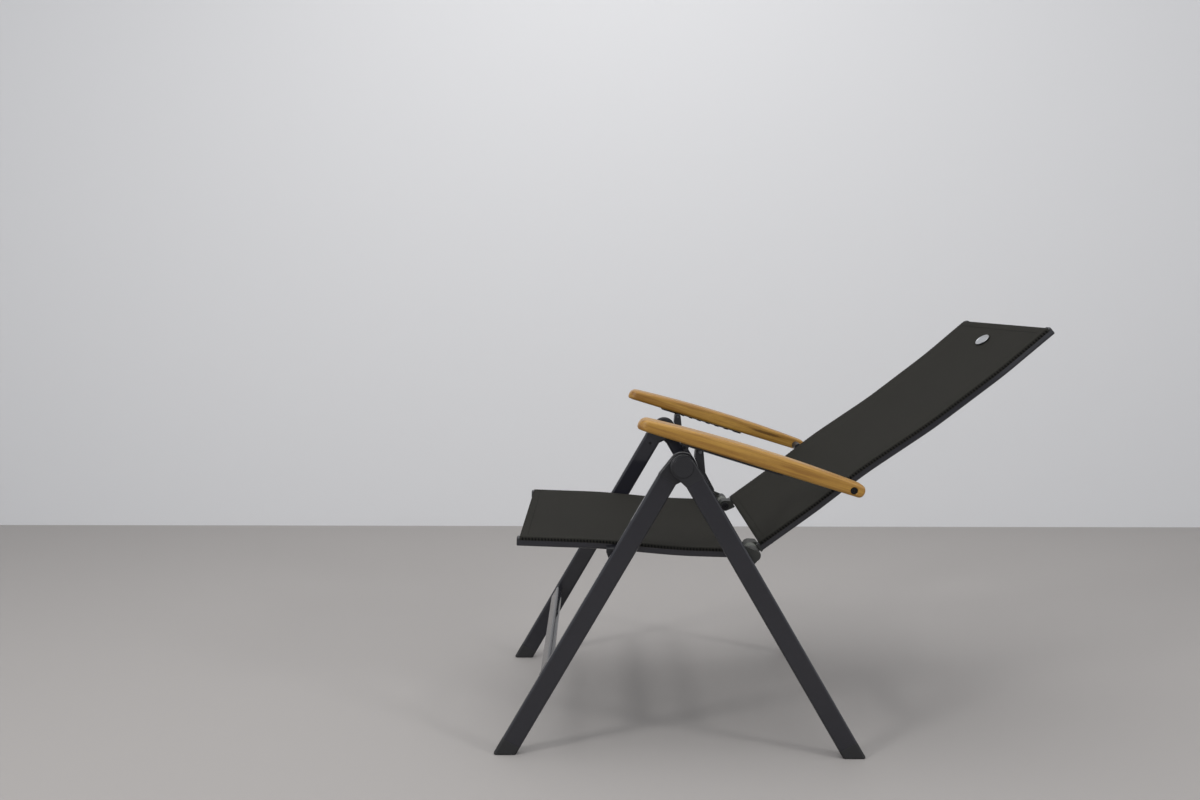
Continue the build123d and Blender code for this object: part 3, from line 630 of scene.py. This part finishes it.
def thickened(mesh):
    """The cloth with its thickness, grown away from its faces' outer side."""
    source = loose_object("sheet", mesh)
    wall = source.modifiers.new("wall", "SOLIDIFY")
    wall.thickness = sizes().cloth_thickness
    wall.offset = -1
    wall.use_even_offset = True
    return evaluated_mesh(source)


def make_panel(panel, cloth):
    """One stretched panel with its hems."""
    across = across_places(panel)
    name = panel.name + "_cloth"
    places = spaced(panel.start, panel.end, sizes().cloth_step)
    sheet = add_piece(name, thickened(cloth_grid(panel, places, across)), cloth, panel.body)
    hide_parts(panel.node)
    between = [(x, drop) for x, drop in across if abs(x) < panel.rail_inner - MM]
    width = sizes().hem_width
    under = -1.15 * sizes().cloth_thickness
    for end_name, first in (("start", panel.start), ("end", panel.end - width)):
        strip = cloth_grid(panel, spaced(first, first + width, width / 4), between, under)
        add_piece(f"{name}_hem_{end_name}", thickened(strip), cloth, panel.body)


class ARMCHAIR_OT_panels(bpy.types.Operator):
    """Stretch the seat's and the back's cloth between their rails"""

    bl_idname = "armchair.panels"
    bl_label = "Cloth panels"

    def execute(self, context):
        cloth = woven_cloth()
        for panel in both_panels():
            make_panel(panel, cloth)
        return {"FINISHED"}


# Rows of stitches and weld beads, set along a path by geometry nodes
def row_tree(name, material):
    """A tree that sets rounded beads along a path and realises them."""
    tree = bpy.data.node_groups.new(name, "GeometryNodeTree")
    tree.is_modifier = True
    face = tree.interface
    face.new_socket("Geometry", in_out="INPUT", socket_type="NodeSocketGeometry")
    for socket in ("Pitch", "Length", "Width", "Height", "Slant"):
        face.new_socket(socket, in_out="INPUT", socket_type="NodeSocketFloat")
    face.new_socket("Geometry", in_out="OUTPUT", socket_type="NodeSocketGeometry")
    make = Builder(tree)
    given = make.add("NodeGroupInput").outputs
    path = make.add("GeometryNodeMeshToCurve", Mesh=given["Geometry"])
    points = make.add(
        "GeometryNodeResampleCurve", {"mode": "LENGTH"}, Curve=path.outputs["Curve"], Length=given["Pitch"]
    )
    bead = make.add("GeometryNodeMeshIcoSphere", Radius=0.5, Subdivisions=2)
    size = make.add("ShaderNodeCombineXYZ", X=given["Length"], Y=given["Width"], Z=given["Height"])
    sized = make.add("GeometryNodeTransform", Geometry=bead.outputs["Mesh"], Scale=size.outputs["Vector"])
    lift = make.add("GeometryNodeInputNamedAttribute", {"data_type": "FLOAT_VECTOR"}, Name="lift")
    heading = make.add("GeometryNodeInputTangent")
    upright = make.add("FunctionNodeAlignRotationToVector", {"axis": "Z"}, Vector=lift.outputs["Attribute"])
    turned = make.add(
        "FunctionNodeAlignRotationToVector", {"axis": "X", "pivot_axis": "Z"},
        Rotation=upright.outputs["Rotation"], Vector=heading.outputs["Tangent"],
    )
    slant = make.add("ShaderNodeCombineXYZ", Z=given["Slant"])
    slanted = make.add(
        "FunctionNodeRotateRotation", {"rotation_space": "LOCAL"},
        Rotation=turned.outputs["Rotation"], Rotate_By=slant.outputs["Vector"],
    )
    beads = make.add(
        "GeometryNodeInstanceOnPoints",
        Points=points.outputs["Curve"],
        Instance=sized.outputs["Geometry"],
        Rotation=slanted.outputs["Rotation"],
    )
    real = make.add("GeometryNodeRealizeInstances", Geometry=beads.outputs["Instances"])
    done = make.add("GeometryNodeSetMaterial", Geometry=real.outputs["Geometry"], Material=material)
    make.add("NodeGroupOutput", Geometry=done.outputs["Geometry"])
    return tree


def path_mesh(paths):
    """Edges along each path of (point, lift) pairs, with the lift kept on each point."""
    points = [point for path in paths for point, lift in path]
    lifts = [lift for path in paths for point, lift in path]
    edges = []
    first = 0
    for path in paths:
        edges += [(first + i, first + i + 1) for i in range(len(path) - 1)]
        first += len(path)
    mesh = bpy.data.meshes.new("paths")
    mesh.from_pydata(points, edges, [])
    kept = mesh.attributes.new("lift", "FLOAT_VECTOR", "POINT")
    kept.data.foreach_set("vector", [c for lift in lifts for c in lift])
    return mesh


def bead_row(name, tree, paths, values, material, body):
    """The beads of a tree along the paths, as one plain piece."""
    source = loose_object(name + "_path", path_mesh(paths))
    row = source.modifiers.new("row", "NODES")
    row.node_group = tree
    for item in tree.interface.items_tree:
        if item.item_type == "SOCKET" and item.in_out == "INPUT" and item.name in values:
            row[item.identifier] = values[item.name]
    return add_piece(name, evaluated_mesh(source), material, body)


def side_seam(panel, side):
    """Path of the thread loops down the cloth's turned edge, on the outer side of one rail."""
    margin = sizes().seam_pitch
    outer = panel.rail_outer + sizes().cloth_rise - 0.2 * MM
    places = spaced(panel.start + margin, panel.end - margin, sizes().cloth_step)
    return [(panel.point(p, side * outer, -sizes().seam_drop), Vector((side, 0, 0))) for p in places]


def hem_seam(panel, place):
    """Path of the stitches across the panel at one hem."""
    reach = panel.rail_inner - 2 * MM
    count = 40
    spots = [reach * (2 * i / count - 1) for i in range(count + 1)]
    return [(panel.point(place, x), panel.normal(place)) for x in spots]


class ARMCHAIR_OT_seams(bpy.types.Operator):
    """Sew the thread loops along the rails and the stitches of the hems"""

    bl_idname = "armchair.seams"
    bl_label = "Seams"

    def execute(self, context):
        s = sizes()
        thread = thread_finish()
        tree = row_tree("thread_row", thread)
        loops = {
            "Pitch": s.seam_pitch, "Length": s.seam_width, "Width": s.seam_length, "Height": s.seam_height,
            "Slant": 0.15,
        }
        stitches = {
            "Pitch": s.hem_pitch, "Length": s.hem_stitch, "Width": s.hem_thread, "Height": s.hem_thread,
            "Slant": 0.0,
        }
        inset = s.hem_width - 3 * MM
        for panel in both_panels():
            sides = [side_seam(panel, side) for side in (-1, 1)]
            ends = [hem_seam(panel, panel.start + inset), hem_seam(panel, panel.end - inset)]
            for name, paths, values in (("side", sides, loops), ("hem", ends, stitches)):
                bead_row(f"{panel.name}_{name}_seams", tree, paths, values, thread, panel.body)
        return {"FINISHED"}


def bar_weld(node, side):
    """Path round the end of a flat or round cross bar, where it meets the leg's inner face."""
    inset = 1.2 * MM
    degrees_apart = 6
    low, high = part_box(node)
    center = (low + high) / 2
    ends = [v.co for v in frame["nodes"][node].data.vertices if abs(v.co.x - high.x) < 0.2 * MM]
    offsets = [Vector((0, p.y - center.y, p.z - center.z)) for p in ends]
    outline = {}
    for offset in offsets:
        direction = round(math.degrees(math.atan2(offset.z, offset.y)) / degrees_apart)
        if direction not in outline or outline[direction].length < offset.length:
            outline[direction] = offset
    hollow = 0.4 * max(offset.length for offset in offsets)
    ring = [outline[direction] for direction in sorted(outline) if outline[direction].length > hollow]
    middle = Vector((side * (high.x - inset), center.y, center.z))
    inward = Vector((-side, 0, 0))
    return [(middle + offset, (offset.normalized() + inward).normalized()) for offset in ring + ring[:1]]


class ARMCHAIR_OT_welds(bpy.types.Operator):
    """Lay the weld beads where the cross bars meet the legs"""

    bl_idname = "armchair.welds"
    bl_label = "Welds"

    def execute(self, context):
        pitch, size = sizes().weld_pitch, sizes().weld_size
        coat = bpy.data.materials["powder_coat"]
        tree = row_tree("weld_row", coat)
        values = {"Pitch": pitch, "Length": 1.5 * pitch, "Width": size, "Height": 0.6 * size, "Slant": 0.0}
        bars = (
            ("front_stretcher", "front_frame"),
            ("rear_stretcher", "rear_frame"),
            ("rear_crossbar", "rear_frame"),
        )
        for node, body in bars:
            paths = [bar_weld(node, side) for side in (-1, 1)]
            bead_row(node + "_welds", tree, paths, values, coat, body)
        return {"FINISHED"}


def plate_place():
    """The oval plate's middle, its two directions and its measures, read from its CAD node."""
    low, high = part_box("back_plate")
    center = (low + high) / 2
    half_across = (high.x - low.x) / 2
    points = [v.co for v in frame["nodes"]["back_plate"].data.vertices]
    middle = [p for p in points if abs(p.x) < 0.3 * half_across]
    slope = max(middle, key=lambda p: p.y + p.z) - min(middle, key=lambda p: p.y + p.z)
    along = Vector((0, slope.y, slope.z)).normalized()
    up = Vector((0, -along.z, along.y))
    half_along = max(abs((p - center).dot(along)) for p in points)
    heights = [(p - center).dot(up) for p in points]
    return center, along, up, half_across, half_along, min(heights), max(heights)


class ARMCHAIR_OT_plate(bpy.types.Operator):
    """Make the bare oval plate on the back, with its raised rim"""

    bl_idname = "armchair.plate"
    bl_label = "Oval plate"

    def execute(self, context):
        center, along, up, half_across, half_along, bottom, top = plate_place()
        # Way in from the edge in rims, and height in shares of the plate's own
        profile = (
            (0, 0), (0, 0.6), (0.12, 0.88), (0.35, 1), (0.75, 1), (1, 0.85), (1.2, 0.55), (1.6, 0.45),
            (3, 0.55), (5, 0.65),
        )
        middle_height = 0.7
        steps = 72
        turns = [2 * math.pi * i / steps for i in range(steps)]
        shape = bmesh.new()
        rings = []
        for rims, share in profile:
            inset = rims * sizes().plate_rim
            side = Vector((half_across - inset, 0, 0))
            end = along * (half_along - inset)
            level = center + up * (bottom + share * (top - bottom))
            rings.append([shape.verts.new(level + side * math.cos(a) + end * math.sin(a)) for a in turns])
        join_rings(shape, rings)
        cap = shape.verts.new(center + up * (bottom + middle_height * (top - bottom)))
        base = shape.verts.new(center + up * bottom)
        for i in range(steps):
            following = (i + 1) % steps
            shape.faces.new((rings[-1][i], rings[-1][following], cap))
            shape.faces.new((rings[0][following], rings[0][i], base))
        bmesh.ops.recalc_face_normals(shape, faces=shape.faces)
        mesh = mesh_of(shape, "oval_plate")
        plate = add_piece("oval_plate", mesh, plate_finish(), "backrest")
        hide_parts("back_plate")
        return {"FINISHED"}


# Armrests
def drop_at(radius, distance):
    """How far a rounding of this radius draws back a surface at a distance from its end."""
    if distance >= radius:
        return 0.0
    return radius - math.sqrt(max(0.0, radius * radius - (radius - distance) ** 2))


def arc_height(along, points):
    """Height of the circle through three points at a place along."""
    (x1, y1), (x2, y2), (x3, y3) = points
    d = 2 * (x1 * (y2 - y3) + x2 * (y3 - y1) + x3 * (y1 - y2))
    q1, q2, q3 = x1 * x1 + y1 * y1, x2 * x2 + y2 * y2, x3 * x3 + y3 * y3
    middle_x = (q1 * (y2 - y3) + q2 * (y3 - y1) + q3 * (y1 - y2)) / d
    middle_y = (q1 * (x3 - x2) + q2 * (x1 - x3) + q3 * (x2 - x1)) / d
    radius = math.hypot(x1 - middle_x, y1 - middle_y)
    return middle_y + math.sqrt(radius * radius - (along - middle_x) ** 2)


def armrest_section(along, outer):
    """Rounded cross-section of an armrest at a place along it, as (x, height) points."""
    s = sizes()
    from_front = along + s.armrest_front
    from_rear = s.armrest_rear - along
    top_line = (
        (-s.armrest_front, s.armrest_front_height),
        (-s.armrest_middle * s.armrest_front, s.armrest_middle_height),
        (s.armrest_rear, s.armrest_rear_height),
    )
    tail = drop_at(s.armrest_tail, from_rear)
    top = arc_height(along, top_line) - drop_at(s.armrest_nose, from_front) - tail
    low = drop_at(s.armrest_chin, from_front) + tail
    share = from_front / (s.armrest_front + s.armrest_rear)
    width = s.armrest_front_width + share * (s.armrest_rear_width - s.armrest_front_width)
    side = drop_at(s.armrest_corner, from_front) + drop_at(s.armrest_edge, from_rear)
    left, right = outer - width + side, outer - side
    most = 0.45
    rounding = min(s.armrest_edge, most * (top - low), most * (right - left))
    steps = 6
    points = []
    corners = ((right, top, -1, -1), (left, top, 1, -1), (left, low, 1, 1), (right, low, -1, 1))
    for quarter, (x, z, inward_x, inward_z) in enumerate(corners):
        middle_x, middle_z = x + inward_x * rounding, z + inward_z * rounding
        for i in range(steps + 1):
            angle = math.pi / 2 * (quarter + i / steps)
            points.append((middle_x + rounding * math.cos(angle), middle_z + rounding * math.sin(angle)))
    return [(x, z - s.armrest_low) for x, z in points]


def armrest_mesh(outer):
    """Wood of one armrest, lofted through its cross-sections, which stand close at its rounded ends."""
    s = sizes()
    back = Vector((0, math.cos(s.armrest_slope), -math.sin(s.armrest_slope)))
    up = Vector((0, math.sin(s.armrest_slope), math.cos(s.armrest_slope)))
    length = s.armrest_front + s.armrest_rear
    ends = [e * MM for e in (0, 0.3, 0.9, 1.8, 3.2, 5, 7.5, 10.5, 14, 18, 23)]
    plain_start = 30 * MM
    steps = 40
    middle = [plain_start + (length - 2 * plain_start) * i / steps for i in range(steps + 1)]
    shape = bmesh.new()
    rings = []
    for place in ends + middle + [length - e for e in reversed(ends)]:
        along = place - s.armrest_front
        spot = ARM_BOLT + back * along
        section = armrest_section(along, outer)
        rings.append([shape.verts.new(spot + up * height + Vector((x, 0, 0))) for x, height in section])
    join_rings(shape, rings)
    shape.faces.new(rings[0])
    shape.faces.new(list(reversed(rings[-1])))
    bmesh.ops.recalc_face_normals(shape, faces=shape.faces)
    return mesh_of(shape, "armrest_wood")


def recess_cutter(outer):
    """Body that cuts the recess round the armrest's bolt, widest at the wood's outer face."""
    s = sizes()
    core = 0.2 * MM
    bottom = outer - s.recess_depth
    mesh = turned_mesh([
        (bottom, core), (bottom, s.recess_radius), (outer - 0.6 * MM, s.recess_radius),
        (outer + MM, s.recess_radius + 1.6 * MM), (outer + MM, core),
    ])
    mesh.transform(Matrix.Translation(ARM_BOLT))
    return loose_object("recess", mesh)


def add_on_both_sides(name, left, finishes, bodies, node, sharp):
    """A left piece and its mirror image, each in place of its CAD node."""
    for side, mesh in (("left", left), ("right", mirrored_mesh(left))):
        piece = add_piece(f"{name}_{side}", mesh, finishes[side], bodies[side])
        mesh.set_sharp_from_angle(angle=math.radians(sharp))
        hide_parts(f"{node}_{side}")


class ARMCHAIR_OT_armrests(bpy.types.Operator):
    """Shape the wooden armrests with their rounded noses and the recesses for their bolts"""

    bl_idname = "armchair.armrests"
    bl_label = "Armrests"

    def execute(self, context):
        slope = sizes().armrest_slope
        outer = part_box("armrest_left")[1].x
        wood = loose_object("wood", armrest_mesh(outer))
        cutter = recess_cutter(outer)
        cut = wood.modifiers.new("recess", "BOOLEAN")
        cut.operation = "DIFFERENCE"
        cut.solver = "EXACT"
        cut.object = cutter
        left = evaluated_mesh(wood)
        bpy.data.objects.remove(cutter)
        knot = Vector((-258 * MM, ARM_BOLT.y - 73.5 * MM, ARM_BOLT.z + 30 * MM))
        finishes = {"left": teak("teak_left", slope), "right": teak("teak_right", slope, knot)}
        bodies = {"left": "armrest_left", "right": "armrest_right"}
        add_on_both_sides("armrest_wood", left, finishes, bodies, "armrest", 40)
        return {"FINISHED"}


class ARMCHAIR_OT_sleeves(bpy.types.Operator):
    """Turn the grooved sleeves of the back's hinges"""

    bl_idname = "armchair.sleeves"
    bl_label = "Hinge sleeves"

    def execute(self, context):
        low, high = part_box("hinge_sleeve_left")
        start, end, radius = low.x, high.x, (high.z - low.z) / 2
        bore = 0.52 * radius
        soft, groove_soft, taper = 0.8 * MM, 0.3 * MM, 0.2 * MM
        half, deep = sizes().groove_width / 2, radius - sizes().groove_depth
        count = 3
        profile = [(start, bore), (start, radius - soft), (start + 0.3 * soft, radius - 0.3 * soft)]
        profile.append((start + soft, radius))
        for i in range(1, count + 1):
            place = start + (end - start) * i / (count + 1)
            before = [(half + groove_soft, radius), (half, radius - groove_soft), (half - taper, deep)]
            profile += [(place - way, r) for way, r in before]
            profile += [(place + way, r) for way, r in reversed(before)]
        profile += [(end - soft, radius), (end - 0.3 * soft, radius - 0.3 * soft)]
        profile += [(end, radius - soft), (end, bore)]
        left = turned_mesh(profile)
        left.transform(Matrix.Translation(HINGE))
        plastic = sleeve_plastic()
        finishes = {"left": plastic, "right": plastic}
        bodies = {"left": "rear_frame", "right": "rear_frame"}
        add_on_both_sides("sleeve", left, finishes, bodies, "hinge_sleeve", 50)
        return {"FINISHED"}


class ARMCHAIR_OT_finishes(bpy.types.Operator):
    """Give every CAD node that stays its finish"""

    bl_idname = "armchair.finishes"
    bl_label = "Finishes"

    def execute(self, context):
        finishes = {
            "frame_coat": powder_coat(),
            "fitting_plastic": fitting_plastic(),
            "hinge_plastic": hinge_plastic(),
            "foot_plastic": foot_plastic(),
            "steel_dark": black_steel(),
            "steel_bright": bright_steel(),
        }
        slots = {part["node"]: part["material_slot"] for part in frame["record"]["subparts"]}
        for name, node in frame["nodes"].items():
            if slots[name] in finishes:
                node.data.materials.clear()
                node.data.materials.append(finishes[slots[name]])
        return {"FINISHED"}


# Stage
WALL = -1.65
REACH = 9.0
WALL_HEIGHT = 6.0
DAYLIGHT = (0.94, 0.96, 1.0, 1)
DAYLIGHT_STRENGTH = 0.72
# Name, place, target, width in metres and power in watts
LAMPS = (
    ("sky", (0.3, -0.3, 3.0), (0, 0, 0.3), 2.8, 38),
    ("front", (1.9, -2.8, 2.2), (0, 0, 0.5), 0.6, 32),
    ("side", (2.0, 2.8, 2.2), (0, 0, 0.5), 0.6, 28),
)


def add_plane(name, corners, colour):
    """A plain matt plane that belongs to the stage."""
    material = new_material(name, Roughness=0.8, Base_Color=(*colour, 1))[0]
    mesh = bpy.data.meshes.new(name)
    mesh.from_pydata(corners, [], [(0, 1, 2, 3)])
    mesh.materials.append(material)
    loose_object(name, mesh)


def add_world():
    """Even daylight from all round."""
    world = bpy.data.worlds.new("studio")
    bpy.context.scene.world = world
    world.use_nodes = True
    light = world.node_tree.nodes["Background"]
    light.inputs["Color"].default_value = DAYLIGHT
    light.inputs["Strength"].default_value = DAYLIGHT_STRENGTH


def add_lamp(name, place, target, size, power):
    """A round soft lamp that looks at its target."""
    light = bpy.data.lights.new(name, "AREA")
    light.shape = "DISK"
    light.size = size
    light.energy = power
    lamp = loose_object(name, light)
    lamp.location = place
    lamp.rotation_euler = (Vector(target) - Vector(place)).to_track_quat("-Z", "Y").to_euler()


def add_camera():
    """The camera, where it stood for the photograph."""
    view = bpy.context.scene.armchair_view
    camera = bpy.data.cameras.new("camera")
    camera.sensor_width = SENSOR_WIDTH
    camera.lens = view.lens
    camera.clip_end = 100
    forward = Vector((
        -math.cos(view.yaw) * math.cos(view.pitch),
        math.sin(view.yaw) * math.cos(view.pitch),
        -math.sin(view.pitch),
    ))
    level = Vector((math.sin(view.yaw), math.cos(view.yaw), 0))
    above = level.cross(forward)
    right = level * math.cos(view.roll) + above * math.sin(view.roll)
    up = above * math.cos(view.roll) - level * math.sin(view.roll)
    turn = Matrix((right, up, -forward)).transposed()
    holder = loose_object("camera", camera)
    holder.matrix_world = Matrix.Translation(Vector(view.place)) @ turn.to_4x4()
    bpy.context.scene.camera = holder


class ARMCHAIR_OT_stage(bpy.types.Operator):
    """Set up the floor, the soft light and the camera"""

    bl_idname = "armchair.stage"
    bl_label = "Stage"

    def execute(self, context):
        bpy.context.scene.view_settings.view_transform = "Standard"
        floor = [(WALL, -REACH, 0), (REACH, -REACH, 0), (REACH, REACH, 0), (WALL, REACH, 0)]
        add_plane("floor", floor, colours().floor)
        wall = [(WALL, -REACH, 0), (WALL, REACH, 0), (WALL, REACH, WALL_HEIGHT), (WALL, -REACH, WALL_HEIGHT)]
        add_plane("backdrop", wall, colours().backdrop)
        add_world()
        for lamp in LAMPS:
            add_lamp(*lamp)
        add_camera()
        return {"FINISHED"}


class ARMCHAIR_PT_panel(bpy.types.Panel):
    """Sizes, colours and steps of the armchair"""

    bl_idname = "ARMCHAIR_PT_panel"
    bl_label = "Garden armchair"
    bl_space_type = "VIEW_3D"
    bl_region_type = "UI"
    bl_category = "Armchair"

    def draw(self, context):
        layout = self.layout
        scene = context.scene
        for group in (scene.armchair_sizes, scene.armchair_colours, scene.armchair_view):
            box = layout.box()
            for name in group.bl_rna.properties.keys():
                if name not in ("rna_type", "name"):
                    box.prop(group, name)
        for operator in OPERATORS:
            layout.operator(operator.bl_idname)


OPERATORS = (
    ARMCHAIR_OT_finishes,
    ARMCHAIR_OT_panels,
    ARMCHAIR_OT_seams,
    ARMCHAIR_OT_welds,
    ARMCHAIR_OT_plate,
    ARMCHAIR_OT_armrests,
    ARMCHAIR_OT_sleeves,
    ARMCHAIR_OT_stage,
)
GROUPS = (ArmchairSizes, ArmchairColours, ArmchairView)


def register():
    for cls in GROUPS + OPERATORS + (ARMCHAIR_PT_panel,):
        bpy.utils.register_class(cls)
    bpy.types.Scene.armchair_sizes = bpy.props.PointerProperty(type=ArmchairSizes)
    bpy.types.Scene.armchair_colours = bpy.props.PointerProperty(type=ArmchairColours)
    bpy.types.Scene.armchair_view = bpy.props.PointerProperty(type=ArmchairView)


def unregister():
    del bpy.types.Scene.armchair_view
    del bpy.types.Scene.armchair_colours
    del bpy.types.Scene.armchair_sizes
    for cls in reversed(GROUPS + OPERATORS + (ARMCHAIR_PT_panel,)):
        bpy.utils.unregister_class(cls)


def main():
    """Makes the whole armchair."""
    register()
    bpy.ops.armchair.finishes()
    bpy.ops.armchair.panels()
    bpy.ops.armchair.seams()
    bpy.ops.armchair.welds()
    bpy.ops.armchair.plate()
    bpy.ops.armchair.armrests()
    bpy.ops.armchair.sleeves()
    bpy.ops.armchair.stage()
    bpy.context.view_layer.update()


if __name__ == "__main__":
    main()
